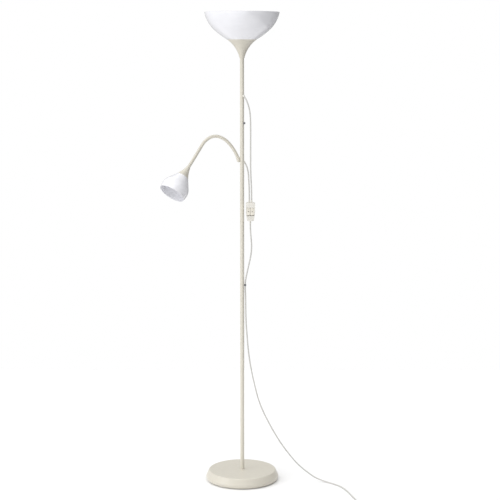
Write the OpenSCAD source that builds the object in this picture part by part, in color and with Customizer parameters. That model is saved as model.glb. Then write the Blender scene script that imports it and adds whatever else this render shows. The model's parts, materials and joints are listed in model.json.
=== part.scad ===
// Torchiere floor lamp: a bowl uplight on a three-piece pole, with a reading light on a flexible
// arm and an in-line double rocker switch. Z is up, the floor is z = 0, the pole stands on the
// origin, the arm reaches towards -X and the front of the lamp faces -Y. Millimetres.

/* [Base] */
// Widest diameter of the pressed base cover
base_d = 275; // [230:1:330]
// Height of the base cover's flat top above the floor
base_h = 39; // [34:1:60]
// Sheet thickness of the base cover
cover_t = 1.2; // [0.8:0.1:2]
// Slope of the cover's side, from the horizontal
cover_slope = 64; // [50:1:80]
// Radius that the cover's foot curls under with
foot_r = 13; // [8:1:16]
// Outside radius of the cover's top edge
edge_r = 5; // [3:0.5:8]
// Diameter of the cast ballast disc under the cover
ballast_d = 234; // [180:1:250]
// Diameter of the felt pad that the lamp stands on
pad_d = 250; // [200:1:260]
// Thickness of the felt pad
pad_t = 3; // [2:0.5:4]

/* [Pole] */
// Outside diameter of the pole tubes
pole_d = 15; // [13:0.5:20]
// Wall of the pole tubes
pole_wall = 1; // [0.8:0.1:1.5]
// Length of the lower tube
lower_l = 661; // [450:1:900]
// Length of the middle tube
middle_l = 610; // [560:1:800]
// Length of the upper tube
upper_l = 298; // [190:1:400]
// Length of the couplers that join the tubes
coupler_l = 56; // [40:1:80]
// Height of the lower cord clip above the lower end of the middle tube
lower_clip_up = 52; // [40:1:120]
// Height of the switch above the lower end of the middle tube
switch_up = 331; // [250:1:420]
// Height of the arm above the lower end of the middle tube
arm_up = 520; // [300:1:560]
// Height of the upper cord clip above the lower end of the upper tube
upper_clip_up = 47; // [40:1:60]
// Height of the uplight's cord hole above the lower end of the upper tube
cord_hole_up = 147; // [80:1:150]

/* [Uplight] */
// Rim diameter of the uplight bowl
bowl_d = 275; // [220:1:340]
// Wall of the uplight bowl
bowl_wall = 2; // [1.5:0.1:3]
// Slope of the bowl at its rim, from the horizontal
rim_slope = 79; // [70:1:85]
// Slope where the bowl's two curves meet
mid_slope = 42; // [38:1:50]
// Radius of the bowl's upper curve
bowl_upper_r = 116; // [105:1:140]
// Radius of the bowl's lower curve
bowl_lower_r = 290; // [250:1:340]
// Radius of the uplight cone where it carries the bowl
cone_top_r = 54; // [44:0.5:60]
// Radius of the uplight cone's flare
cone_flare_r = 114; // [100:1:130]
// Slope of the uplight cone at its throat, from upright
cone_start = 13; // [8:1:18]
// Sheet thickness of both cones
cone_wall = 1; // [0.8:0.1:1.5]
// How far the cone's throat reaches down over the pole
cone_lap = 14; // [12:1:20]

/* [Reading arm] */
// Outside diameter of the flexible arm
arm_d = 12; // [10:0.5:13]
// Length of each of the arm's links
link_l = 37.5; // [32:0.5:44]
// Lean of the arm from upright where it leaves the pole
arm_lean = 18.5; // [10:0.5:40]
// Gap in the ball joints between the links
ball_gap = 0.5; // [0.4:0.05:0.6]
// Distance from the pole's middle to the arm's socket
socket_out = 12.5; // [11.5:0.5:14]

/* [Reading head] */
// Mouth diameter of the reading shade
mouth_d = 100; // [90:1:120]
// Length of the reading shade
hood_l = 76; // [70:1:95]
// Wall of the reading shade
hood_wall = 1.6; // [1.2:0.1:2.5]
// Length of the reading cone
neck_l = 46; // [42:1:54]
// Radius of the reading cone's flare
neck_flare_r = 130; // [110:1:150]
// Slope of the reading cone at its throat, from its axis
neck_start = 10; // [6:1:14]
// How far the arm's end reaches into the reading cone
arm_in_neck = 11; // [8:1:12]

/* [Switch] */
// Width of the switch at its top
switch_w = 34; // [32:1:44]
// Width of the switch at its foot
switch_foot_w = 25.6; // [20:0.1:32]
// Height of the switch
switch_h = 68; // [64:1:90]
// Thickness of the switch
switch_t = 20; // [18:1:28]
// Wall of the switch's two shells
switch_wall = 1.6; // [1.2:0.1:2]
// Width of one rocker
rocker_w = 13.2; // [11:0.1:13.4]
// Length of one rocker
rocker_l = 27.2; // [22:0.1:30]
// Angle a rocker tips to each side of level
rocker_tip = 7; // [4:0.5:9]

/* [Cord and plug] */
// Diameter of the cords
cord_d = 5; // [4:0.5:6]
// Thickness of the flat plug
plug_t = 14; // [13:0.5:16]
// Width of the flat plug
plug_w = 35; // [30:1:38]
// Diameter of the plug's pins
pin_d = 4; // [3.8:0.1:4.8]
// Length of the plug's pins
pin_l = 19; // [17:0.5:20]
// Distance between the plug's pins
pin_pitch = 18.6; // [17:0.1:20]

/* [Hidden] */
$fn = 64;
pole_r = pole_d / 2;
bore_r = pole_r - pole_wall;
cord_r = cord_d / 2;
arm_r = arm_d / 2;
ball_r = arm_r - 0.1;
slip = 0.05;            // radial clearance of what slides or screws together
eps = 0.01;

cord_out = pole_r - 7.5; // how far the cords stand further out than on a 15 mm pole

// Heights up the pole
joint_1 = base_h + lower_l;
joint_2 = joint_1 + middle_l;
pole_top = joint_2 + upper_l;
arm_z = joint_1 + arm_up;
web_t = 1.5;            // web in each cone that its lampholder is screwed down on
web_top = pole_top + web_t;
throat_z = pole_top - cone_lap;

// Threads, taken as plain cylinders
m10_r = 5;
m10_bore = 3.4;

// Base: the foot curls up to foot_z, the sides lean in to the rounded top edge
foot_lift = 1;
foot_end = 70;
foot_z = foot_lift + foot_r * sin(foot_end);
foot_c = [base_d / 2 - foot_r, foot_z];
side_a = 90 - cover_slope;
side_start = foot_c + foot_r * [cos(side_a), sin(side_a)];
top_corner_r = side_start.x - (base_h - side_start.y) / tan(cover_slope);
edge_c = [top_corner_r - edge_r * tan(cover_slope / 2), base_h - edge_r];
recess_r = 20;
recess_top = 18;
washer_t = 2;
nut_t = 8;
nut_w = 17;
plug_l = 30;            // length of the threaded plugs in the pole's two ends

// Uplight
cone_r0 = pole_r + slip + cone_wall + 0.2;
cone_h = cone_flare_r
    * (sin(acos(cos(cone_start) - (cone_top_r - cone_r0) / cone_flare_r)) - sin(cone_start));
seat_z = throat_z + cone_h;
e27_skirt_r = 19.9;
// Centre of the bowl's lower curve, whose foot sits on the cone's edge
bowl_bend_r = bowl_d / 2 - bowl_upper_r * (sin(rim_slope) - sin(mid_slope));
bowl_c2r = bowl_bend_r - bowl_lower_r * sin(mid_slope);
bowl_foot_a = asin((cone_top_r - bowl_c2r) / bowl_lower_r);
bowl_c2 = [bowl_c2r, seat_z + bowl_lower_r * cos(bowl_foot_a)];
bowl_c1 = [bowl_bend_r - bowl_upper_r * sin(mid_slope),
           bowl_c2.y - (bowl_lower_r - bowl_upper_r) * cos(mid_slope)];
bowl_in_a = acos((bowl_c2.y - seat_z - bowl_wall) / (bowl_lower_r - bowl_wall));

// Reading arm: bend of each link in the arm's plane and towards the front, in degrees
LINK_BEND = [13, 12, 28, 47, 29, 0, -2, 0];
LINK_SIDE = [0, 0, 0, 3.5, 8.5, 9, 7.5, 0];
links = len(LINK_BEND);
socket_r = arm_r + slip + 0.75;
spigot_r = 4;
socket_start = 3;
socket_l = 12;

// Reading head: s runs from the cone's throat to the mouth
neck_r0 = arm_r + 0.2 + cone_wall;
neck_top_r = flare(neck_r0, neck_flare_r, neck_start, neck_l);
e14_skirt_r = 13.5;
hood_bulge_r = 45;      // radius of the shade's shoulder
hood_widest = mouth_d / 2 + 1.5;
hood_straight = 20;     // length of the nearly straight part behind the mouth
hood_c = [hood_widest - hood_bulge_r, neck_l + hood_l - hood_straight];
// The line from the shade's foot that touches the shoulder's circle
hood_foot = [neck_top_r, neck_l];
hood_far = norm(hood_c - hood_foot);
hood_a = atan2(hood_c.y - hood_foot.y, hood_c.x - hood_foot.x) - asin(hood_bulge_r / hood_far);

// Cord bushes: [height, azimuth towards the front, dip]
bush_shank_r = 3.5;
bush_in = 4.5;
bush_out = 5;
lead_r = 2;
UP_BUSH = [joint_2 + cord_hole_up, 40, 45];
read_dip = 50;
lead_bend = 8;
READ_BUSH = [arm_z - lead_bend * (1 - cos(read_dip)) - bush_in * sin(read_dip), 0, read_dip];

// Cord clips
clip_wall = 1.3;
clip_h = 7;
clip_r = cord_r + 0.1;
clip_out = pole_r + 0.3 + clip_wall + clip_r;
peg_r = 1.5;

// Switch: hangs beside the pole, its own z points to the front
switch_at = [31 + cord_out, -18, joint_1 + switch_up];
half_t = switch_t / 2;
axle_r = 1.25;
axle_up = 4.4;
rocker_gap = 0.7;
window_w = 2 * rocker_w + rocker_gap + 0.5;
window_l = rocker_l + 2.4;
rocker_mid = 5;
rocker_end = 6.6;
sleeve_l = 10;
sleeve_r = 3.4;
sleeve_tip_r = 2.95;
CORD_X = [-4.5, 4];     // where the lights' cords enter the switch's top
MAINS_X = -0.5;         // where the mains cord leaves its foot
screw_y = 24;
screw_r = 1.5;
boss_r = 3.2;

// Routes of the cords' middle lines. Each keeps its shape in plan and is stretched in height
// between its two ends, which are given here at its own heights.
UPLIGHT_ROUTE = [
    [13, -11, 1447], [17, -14, 1439], [21, -16, 1429], [24.5, -17.5, 1418],
    [27.5, -18.5, 1405], [29.5, -19, 1390], [31, -19, 1370], [31.5, -19, 1345], [31.5, -19, 1310],
    [31.5, -19, 1270], [31.5, -19, 1230], [31.5, -19, 1190], [32.5, -18.5, 1160],
    [34, -18, 1130], [35, -18, 1102], [35, -18, 1075]];
READING_ROUTE = [
    [14, -0.5, 1204.5], [17, -1.5, 1197.5], [19.5, -3, 1189.5],
    [21.5, -5, 1180.5], [23, -7, 1171], [24, -9, 1161], [24.5, -11, 1150.5], [25, -13, 1140],
    [25.5, -14.5, 1129.5], [26, -16, 1119], [26.5, -17, 1108], [26.5, -17.5, 1097],
    [26.5, -18, 1086], [26.5, -18, 1075]];
MAINS_ROUTE = [
    [30.5, -18, 987], [31, -18, 965], [32.5, -17.5, 940], [34.5, -17, 915], [35, -15.5, 892],
    [32.5, -13, 868], [28.5, -10, 846], [23.5, -7, 823], [18.5, -4, 800], [14.5, -1.5, 780],
    [12, 0, 764], [11.5, 0, 752], [11.5, 0, 740], [12.5, -1, 715], [13, -3, 680],
    [14, -7, 625], [19, -13, 550], [25.5, -19, 485], [35, -25, 428], [48, -30, 370],
    [62, -34, 318], [80, -37, 272], [100, -39, 232], [123, -40, 190], [148, -41, 150],
    [174, -41, 114], [200, -41, 82], [226, -41, 56], [252, -41, 35], [277, -42, 18],
    [298, -43.5, 9], [314, -47, 4], [330, -58, 2.5], [346, -74, 2.5], [361, -92, 2.5],
    [375, -117, 2.5], [388, -152, 2.5], [400, -200, 2.5], [411, -245, 2.5], [417, -282, 2.5],
    [418, -318, 3]];
TAIL_ROUTE = [[460, -360, 8], [466, -360, 8], [472, -360, 7.7], [478, -360, 7.2], [484, -360, 7]];
route_sides = 10;

// A point on a bush's middle line, d out from the pole's surface
function bush_point(b, d) =
    [(pole_r + d * cos(b.z)) * cos(b.y), -(pole_r + d * cos(b.z)) * sin(b.y), b.x - d * sin(b.z)];
// A route moved out with the pole's surface and stretched from heights a..b to low..high
function fitted(route, a, b, low, high) =
    [for (p = route) [p.x + cord_out, p.y, low + (p.z - a) * (high - low) / (b - a)]];
switch_top = switch_at.z + switch_h / 2;
switch_foot = switch_at.z - switch_h / 2;

// The stored length: a flat round coil, two turns wide and two high
coil_at = [448 + cord_out, -330];
coil_r = 27.5;
coil_lift = 0.5;
tie_t = 0.8;
tie_span = 14;
tie_at = 20;
plug_at = [484 + cord_out, -360];
plug_neck_l = 22;
plug_l_body = 36;

CREAM = "#e6dccb";
WHITE = "#f1f1f4";
IVORY = "#ece6d6";
STEEL = "#b9bcc0";
BRASS = "#c9a550";
GREY = "#77777a";
LEAD = "#dededa";

// ---------- Outlines ----------

function unit(v) = v / norm(v);

// Points of an arc about c, from angle a to angle b
function arc(c, r, a, b, n = 12) =
    [for (i = [0:n]) c + r * [cos(a + (b - a) * i / n), sin(a + (b - a) * i / n)]];

// A corner at p between a and b, rounded to radius r
function corner(a, p, b, r, n = 6) =
    let (u = unit(a - p), v = unit(b - p), h = acos(u * v) / 2,
         c = p + unit(u + v) * r / sin(h),
         s = p + u * r / tan(h) - c, e = p + v * r / tan(h) - c,
         a0 = atan2(s.y, s.x), turn = atan2(cross(s, e), s * e))
    arc(c, r, a0, a0 + turn, n);

function rounded(pts, radii) =
    let (n = len(pts))
    [for (i = [0:n - 1]) each corner(pts[(i + n - 1) % n], pts[i], pts[(i + 1) % n], radii[i])];

// A trumpet-shaped shell flares on an arc of radius r, from radius r0 and slope a at its throat.
// Its outer radius at height h, or w inside it with w added to r after the centre is set
function flare(r0, r, a, h, w = 0) =
    r0 + r * cos(a) - sqrt(pow(r + w, 2) - pow(h + r * sin(a), 2));

// Half section of that shell, of height h and wall w
function trumpet(r0, r, a, h, w) =
    let (c = [r0 + r * cos(a), -r * sin(a)], up = h + r * sin(a))
    concat(arc(c, r, 180 - a, 180 - asin(up / r), 16),
           arc(c, r + w, 180 - asin(up / (r + w)), 180 - asin(-c.y / (r + w)), 16));

// ---------- Shared shapes ----------

module tube(r_out, r_in, h) {
    difference() {
        cylinder(r = r_out, h = h);
        translate([0, 0, -1]) cylinder(r = r_in, h = h + 2);
    }
}

module ring_section(pts) { rotate_extrude($fn = 96) polygon(pts); }

// A cord's tube, swept along its route
function heading(p, i) = unit(p[min(i + 1, len(p) - 1)] - p[max(i - 1, 0)]);
function square_to(n, t) = unit(n - (n * t) * t);
function carried(p) =
    [for (i = 0, n = square_to([0, 1, 0.2], heading(p, 0)); i < len(p);
          i = i + 1, n = i < len(p) ? square_to(n, heading(p, i)) : n) n];

module swept(p, r, m = route_sides) {
    n = len(p);
    side = carried(p);
    points = [for (i = [0:n - 1], j = [0:m - 1])
        p[i] + r * (cos(360 * j / m) * side[i] + sin(360 * j / m) * cross(heading(p, i), side[i]))];
    skin = [for (i = [0:n - 2], j = [0:m - 1])
        [i * m + j, (i + 1) * m + j, (i + 1) * m + (j + 1) % m, i * m + (j + 1) % m]];
    foot = [for (j = [0:m - 1]) j];
    head = [for (j = [m - 1:-1:0]) (n - 1) * m + j];
    polyhedron(points = points, faces = concat(skin, [foot, head]));
}

// A screw-cap lampholder that stands on its web: z = 0 is the web, seat is the shade's seat
module lampholder(neck_r, neck_h, dome_h, barrel_r, seat, skirt_r, top, socket_r, floor_h) {
    shoulder_r = skirt_r + 2.5;
    shoulder_t = 1.5;
    dome = neck_h + dome_h;
    wire_r = 2.4;
    floor_t = 2.5;
    ring_section([[m10_r, 0], [neck_r, 0], [neck_r, neck_h], [barrel_r, dome],
        [barrel_r, seat - shoulder_t], [shoulder_r, seat - shoulder_t], [shoulder_r, seat],
        [skirt_r, seat], [skirt_r, top], [socket_r, top], [socket_r, floor_h],
        [wire_r, floor_h], [wire_r, floor_h - floor_t], [barrel_r - 2, floor_h - floor_t],
        [barrel_r - 2, dome], [m10_r, neck_h]]);
}

// The holder's two contacts: the threaded shell and the tongue under the cap's tip
module contacts(shell_r, shell_h) {
    tube(shell_r, shell_r - 0.5, shell_h);
    cylinder(r = shell_r / 3, h = 1.5);
}

module bulb_cap(r, h) {
    ring_section([[0, 0], [r / 3, 0], [r / 3, 1.5], [r - 2.5, 4], [r, 6.5], [r, h], [0, h]]);
}

module nut_ring(r_in, r_out, h) { tube(r_out, r_in, h); }

// ---------- Base ----------

module base_pad() { color(GREY) cylinder(d = pad_d, h = pad_t, $fn = 128); }

module base_ballast() {
    color("#8d8b86") difference() {
        translate([0, 0, pad_t]) cylinder(d = ballast_d, h = base_h - cover_t - pad_t, $fn = 128);
        cylinder(r = m10_r + 0.5, h = base_h);
        translate([0, 0, pad_t - 1]) cylinder(r = recess_r, h = recess_top - pad_t + 1);
    }
}

module base_cover() {
    outer = concat([[m10_r + 0.3, base_h]], arc(edge_c, edge_r, 90, side_a, 8),
                   arc(foot_c, foot_r, side_a, -foot_end, 16));
    inner = concat(arc(foot_c, foot_r - cover_t, -foot_end, side_a, 16),
                   arc(edge_c, edge_r - cover_t, side_a, 90, 8),
                   [[m10_r + 0.3, base_h - cover_t]]);
    color(CREAM) rotate_extrude($fn = 160) polygon(concat(outer, inner));
}

module base_washer() {
    color(STEEL) translate([0, 0, recess_top - washer_t]) tube(15, m10_r + 0.2, washer_t);
}

module base_nut() {
    color(STEEL) translate([0, 0, recess_top - washer_t - nut_t]) difference() {
        cylinder(d = nut_w / cos(30), h = nut_t, $fn = 6);
        translate([0, 0, -1]) cylinder(r = m10_r, h = nut_t + 2);
    }
}

module base_stud() {
    low = recess_top - washer_t - nut_t - 3;
    color(STEEL) translate([0, 0, low]) cylinder(r = m10_r - slip, h = base_h + plug_l - low);
}

module pole_foot_plug() {
    color(STEEL) translate([0, 0, base_h]) tube(bore_r - slip, m10_r, plug_l);
}

// ---------- Pole ----------

// Local x points out of the pole at a bush or clip
module on_pole(z, azimuth) {
    translate([0, 0, z]) rotate([0, 0, -azimuth]) children();
}

// Local z runs out along a bush, from the pole's surface
module along_bush(b) {
    on_pole(b.x, b.y) translate([pole_r, 0, 0]) rotate([0, 90 + b.z, 0]) children();
}

module bush_hole(b) {
    along_bush(b) translate([0, 0, -bush_in - 1]) cylinder(r = bush_shank_r + slip, h = 16);
}

module peg_hole(z, azimuth) {
    on_pole(z, azimuth) rotate([0, 90, 0]) cylinder(r = peg_r + slip, h = pole_d);
}

module pole_lower() {
    color(CREAM) translate([0, 0, base_h]) tube(pole_r, bore_r, lower_l);
}

module pole_middle() {
    color(CREAM) difference() {
        translate([0, 0, joint_1]) tube(pole_r, bore_r, middle_l);
        peg_hole(joint_1 + lower_clip_up, 0);
        translate([0, 0, arm_z]) rotate([0, -90, 0]) cylinder(r = spigot_r + slip, h = pole_d);
        bush_hole(READ_BUSH);
    }
}

module pole_upper() {
    color(CREAM) difference() {
        translate([0, 0, joint_2]) tube(pole_r, bore_r, upper_l);
        peg_hole(joint_2 + upper_clip_up, UPPER_CLIP_AZIMUTH);
        bush_hole(UP_BUSH);
    }
}

module coupler(z) {
    color(STEEL) translate([0, 0, z - coupler_l / 2]) tube(bore_r - slip, bore_r - 1.3, coupler_l);
}

module pole_top_plug() {
    color(STEEL) translate([0, 0, pole_top - plug_l]) tube(bore_r - slip, m10_r, plug_l);
}

module cord_bush(b) {
    color(WHITE) difference() {
        union() {
            along_bush(b) translate([0, 0, -bush_in]) cylinder(r = bush_shank_r, h = bush_in + 1);
            difference() {
                along_bush(b) translate([0, 0, -3])
                    cylinder(r1 = bush_shank_r + 1.2, r2 = cord_r + 0.7, h = 3 + bush_out);
                on_pole(b.x - 30, 0) cylinder(r = pole_r, h = 60);
            }
        }
        along_bush(b) translate([0, 0, -bush_in - 1])
            cylinder(r = cord_r + slip, h = bush_in + bush_out + 2);
    }
}

// The uplight's lead comes down the pole and bends into its bush
module uplight_lead() {
    b = UP_BUSH;
    in_r = pole_r - bush_in * cos(b.z);
    bend = in_r / (1 - cos(90 - b.z));
    low = b.x + bush_in * sin(b.z) + bend * sin(90 - b.z);
    color(LEAD) union() {
        translate([0, 0, low]) cylinder(r = lead_r, h = web_top + 12 - low);
        on_pole(low, b.y) translate([bend, 0, 0]) rotate([90, 0, 0])
            rotate_extrude(angle = 90 - b.z, start = 180) translate([bend, 0]) circle(r = lead_r);
    }
}

// The reading light's lead crosses the pole from the arm to its bush
module reading_lead() {
    turn_x = pole_r - bush_in * cos(read_dip) - lead_bend * sin(read_dip);
    up = 90 - arm_lean;
    bend = 3;
    back = bend * tan(up / 2);
    line = concat(arc([back - socket_out, bend], bend, 270 - up, 270, 6),
                  arc([turn_x, -lead_bend], lead_bend, 90, 93 - read_dip, 6));
    color(LEAD) swept([for (q = line) [q.x, 0, arm_z + q.y]], lead_r, 16);
}

// An open clip with a peg through the pole's wall
module cord_clip(z, azimuth) {
    color(GREY) on_pole(z, azimuth) {
        difference() {
            union() {
                translate([clip_out, 0, -clip_h / 2]) cylinder(r = clip_r + clip_wall, h = clip_h);
                translate([pole_r - 1, -1.5, -clip_h / 2]) cube([3, 3, clip_h]);
            }
            translate([clip_out, 0, -clip_h]) cylinder(r = clip_r, h = 2 * clip_h);
            translate([clip_out, -clip_r * 0.7, -clip_h]) cube([9, clip_r * 1.4, 2 * clip_h]);
            translate([0, 0, -clip_h]) cylinder(r = pole_r, h = 2 * clip_h);
        }
        translate([bore_r - 1, 0, 0]) rotate([0, 90, 0]) cylinder(r = peg_r, h = pole_wall + 1.2);
    }
}

UPPER_CLIP_AZIMUTH = 45;

// ---------- Uplight ----------

module uplight_nipple() {
    color(STEEL) translate([0, 0, pole_top - 14]) tube(m10_r - slip, m10_bore, 14 + web_t + 7);
}

module uplight_cone() {
    web_s = pole_top - throat_z;
    web_r = flare(cone_r0, cone_flare_r, cone_start, web_s, cone_wall) + cone_wall / 2;
    color(CREAM) translate([0, 0, throat_z]) union() {
        ring_section(trumpet(cone_r0, cone_flare_r, cone_start, cone_h, cone_wall));
        translate([0, 0, web_s]) tube(web_r, m10_r + 0.1, web_t);
    }
}

uplight_top = seat_z - web_top + bowl_wall + 11;
uplight_floor = 34;

module uplight_lampholder() {
    color("#e8e8e4") translate([0, 0, web_top])
        lampholder(9, 7, 22, 19, seat_z - web_top, e27_skirt_r, uplight_top, 14.2, uplight_floor);
}

module uplight_contacts() {
    color(BRASS) translate([0, 0, web_top + uplight_floor]) contacts(14.15, 20);
}

module uplight_shade_ring() {
    color("#e8e8e4") translate([0, 0, seat_z + bowl_wall]) nut_ring(e27_skirt_r + 0.1, 26, 8);
}

module uplight_bowl() {
    a1 = -90 + rim_slope;
    a2 = -90 + mid_slope;
    a3 = -90 + bowl_foot_a;
    hole_r = e27_skirt_r + 0.3;
    outer = concat([[hole_r, seat_z]], arc(bowl_c2, bowl_lower_r, a3, a2, 10),
                   arc(bowl_c1, bowl_upper_r, a2, a1, 16));
    inner = concat(arc(bowl_c1, bowl_upper_r - bowl_wall, a1, a2, 16),
                   arc(bowl_c2, bowl_lower_r - bowl_wall, a2, -90 + bowl_in_a, 10),
                   [[hole_r, seat_z + bowl_wall]]);
    color(WHITE) rotate_extrude($fn = 160) polygon(concat(outer, inner));
}

// Glass shell of a round bulb: neck radius, neck height, globe radius and centre height
module bulb_glass(neck_r, neck_h, globe_r, globe_z, wall = 0.8) {
    low = -55;
    ring_section(concat([[neck_r, 0], [neck_r, neck_h]], arc([0, globe_z], globe_r, low, 90, 20),
        arc([0, globe_z], globe_r - wall, 90, low, 20),
        [[neck_r - wall, neck_h], [neck_r - wall, 0]]));
}

module uplight_bulb_cap() {
    color(STEEL) translate([0, 0, web_top + uplight_floor + 2]) bulb_cap(13.2, 25);
}

module uplight_bulb_glass() {
    color("white") translate([0, 0, web_top + uplight_floor + 27]) bulb_glass(12.8, 8, 30, 53);
}

// ---------- Reading arm ----------

// Bend, direction and radius of a link's curve
function link_turn(i) = norm([LINK_BEND[i - 1], LINK_SIDE[i - 1]]);
function link_roll(i) = atan2(LINK_SIDE[i - 1], LINK_BEND[i - 1]);
function link_r(i) = link_l * 180 / PI / max(link_turn(i), eps);

module at_socket() {
    translate([-socket_out, 0, arm_z]) rotate([0, -arm_lean, 0]) rotate([0, 0, 180]) children();
}

// From the start of link i to its end: z runs along the arm, x bends down, y to the front
module past_link(i) {
    r = link_r(i);
    t = link_turn(i);
    rotate([0, 0, link_roll(i)])
        translate(t < eps ? [0, 0, link_l] : [r * (1 - cos(t)), 0, r * sin(t)])
            rotate([0, t, 0]) rotate([0, 0, -link_roll(i)]) children();
}

module at_link(i) {
    if (i <= 1) at_socket() translate([0, 0, socket_start]) children();
    else at_link(i - 1) past_link(i - 1) children();
}

module arm_socket() {
    elbow = [-socket_out, 0, arm_z];
    color(CREAM) difference() {
        union() {
            difference() {
                union() {
                    translate(elbow) sphere(r = socket_r + 0.7);
                    at_socket() cylinder(r = socket_r, h = socket_l);
                }
                translate([0, 0, arm_z - 30]) cylinder(r = pole_r, h = 60);
            }
            translate(elbow + [1.5, 0, 0]) rotate([0, 90, 0])
                cylinder(r = spigot_r, h = socket_out - bore_r + 0.5);
        }
        at_socket() translate([0, 0, socket_start]) cylinder(r = arm_r + slip, h = socket_l);
        at_socket() cylinder(r = lead_r + 0.1, h = socket_l);
        translate(elbow) sphere(r = lead_r + 0.9);
        translate(elbow) rotate([0, 90, 0]) cylinder(r = lead_r + 0.2, h = socket_out);
    }
}

module link_body(i) {
    t = link_turn(i);
    r = link_r(i);
    if (t < eps) cylinder(r = arm_r, h = link_l);
    else rotate([0, 0, link_roll(i)]) translate([r, 0, 0]) rotate([90, 0, 0])
        rotate_extrude(angle = t, start = 180 - t, $fn = 180) translate([r, 0]) circle(r = arm_r);
}

// Each link ends in a ball that sits in the next link's cup
module arm_link(i) {
    color(CREAM) at_link(i) difference() {
        union() {
            link_body(i);
            if (i < links) past_link(i) sphere(r = ball_r);
        }
        if (i > 1) sphere(r = ball_r + ball_gap);
    }
}

// ---------- Reading head ----------

module at_head() { at_link(links + 1) translate([0, 0, -arm_in_neck]) children(); }

reading_web = arm_in_neck + web_t;
reading_top = neck_l - reading_web + hood_wall + 4.6;
reading_floor = 15.5;

module reading_nipple() {
    color(STEEL) at_head() translate([0, 0, arm_in_neck]) tube(m10_r - slip, m10_bore, web_t + 6);
}

module reading_cone() {
    web_r = flare(neck_r0, neck_flare_r, neck_start, arm_in_neck, cone_wall) + cone_wall / 2;
    color(CREAM) at_head() union() {
        ring_section(trumpet(neck_r0, neck_flare_r, neck_start, neck_l, cone_wall));
        translate([0, 0, arm_in_neck]) tube(web_r, m10_r + 0.1, web_t);
    }
}

module reading_lampholder() {
    color("#e8e8e4") at_head() translate([0, 0, reading_web])
        lampholder(6.4, 6, 6, 12, neck_l - reading_web, e14_skirt_r, reading_top, 7.7,
                   reading_floor);
}

module reading_contacts() {
    color(BRASS) at_head() translate([0, 0, reading_web + reading_floor]) contacts(7.65, 14);
}

module reading_shade_ring() {
    color("#e8e8e4") at_head() translate([0, 0, neck_l + hood_wall])
        nut_ring(e14_skirt_r + 0.1, 18.5, 4);
}

module reading_shade() {
    w = hood_wall;
    hole_r = e14_skirt_r + 0.3;
    mouth_s = neck_l + hood_l;
    foot_in = hood_foot + w * [-tan(hood_a / 2), 1];
    outer = concat([[hole_r, neck_l], hood_foot],
                   arc(hood_c, hood_bulge_r, hood_a - 90, 0, 14),
                   [[mouth_d / 2, mouth_s]]);
    inner = concat([[mouth_d / 2 - w, mouth_s]],
                   arc(hood_c, hood_bulge_r - w, 0, hood_a - 90, 14),
                   [foot_in, [hole_r, neck_l + w]]);
    color(WHITE) at_head() rotate_extrude($fn = 128) polygon(concat(outer, inner));
}

module reading_bulb_cap() {
    color(STEEL) at_head() translate([0, 0, reading_web + reading_floor + 2]) bulb_cap(6.9, 18);
}

// A small reflector bulb: its front face lies deep inside the shade
module reading_bulb_glass() {
    wall = 0.8;
    face_r = 19.5;
    dome_r = 40;
    dome_a = asin(face_r / dome_r);
    face_s = 42;
    outer = concat([[6.7, 0], [6.7, 4]], arc([0, 26], face_r, -50, 0, 8),
                   arc([0, face_s - dome_r * cos(dome_a)], dome_r, 90 - dome_a, 90, 8));
    inner = concat(arc([0, face_s - dome_r * cos(dome_a)], dome_r - wall, 90, 91 - dome_a, 8),
                   arc([0, 26], face_r - wall, 0, -50, 8), [[6.7 - wall, 4], [6.7 - wall, 0]]);
    color("white") at_head() translate([0, 0, reading_web + reading_floor + 20])
        ring_section(concat(outer, inner));
}

// ---------- Switch ----------

module at_switch() { translate(switch_at) rotate([90, 0, 0]) children(); }

function switch_outline(inset) =
    let (w = switch_w / 2 - inset, f = switch_foot_w / 2 - inset, h = switch_h / 2 - inset)
    rounded([[w, h], [-w, h], [-w, -2], [-f, -h], [f, -h], [w, -2]],
            [4 - inset / 2, 4 - inset / 2, 20, 5 - inset / 2, 5 - inset / 2, 20]);

module shell(thick) {
    difference() {
        linear_extrude(thick) polygon(switch_outline(0));
        translate([0, 0, -1]) linear_extrude(thick + 1 - switch_wall)
            polygon(switch_outline(switch_wall));
    }
}

module sleeve_seats() {
    for (x = CORD_X) translate([x, switch_h / 2 - 5, 0]) rotate([-90, 0, 0])
        cylinder(r = sleeve_r + slip, h = 8);
    translate([MAINS_X, -switch_h / 2 + 5, 0]) rotate([90, 0, 0])
        cylinder(r = sleeve_r + slip, h = 8);
}

module switch_front() {
    color(WHITE) at_switch() difference() {
        union() {
            difference() {
                shell(half_t);
                translate([-window_w / 2, -window_l / 2, 0]) cube([window_w, window_l, half_t + 1]);
            }
            // Cheeks that hold the rockers' axle
            for (s = [-1, 1])
                translate([s * (window_w / 2 + 0.9) - 0.9, -3.5, 1]) cube([1.8, 7, half_t - 1.5]);
            for (y = [-screw_y, screw_y]) translate([0, y, 0]) cylinder(r = boss_r, h = half_t - 1);
        }
        translate([-switch_w / 2, 0, axle_up]) rotate([0, 90, 0]) translate([0, 0, 1.2])
            cylinder(r = axle_r, h = switch_w - 2.4);
        for (y = [-screw_y, screw_y])
            translate([0, y, -1]) cylinder(r = screw_r, h = half_t - 2);
        sleeve_seats();
    }
}

module switch_back() {
    color(WHITE) at_switch() difference() {
        union() {
            mirror([0, 0, 1]) shell(half_t);
            for (y = [-screw_y, screw_y])
                translate([0, y, 1 - half_t]) cylinder(r = boss_r, h = half_t - 1);
        }
        for (y = [-screw_y, screw_y]) {
            translate([0, y, -half_t - 1]) cylinder(r = screw_r + slip, h = half_t + 2);
            translate([0, y, -half_t - 1]) cylinder(r = 2.85, h = 3.2);
        }
        sleeve_seats();
    }
}

module switch_screws() {
    color(STEEL) at_switch() for (y = [-screw_y, screw_y]) {
        translate([0, y, 0.2 - half_t]) cylinder(r = 2.7, h = 2);
        translate([0, y, 1 - half_t]) cylinder(r = screw_r, h = half_t + 3);
    }
}

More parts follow.
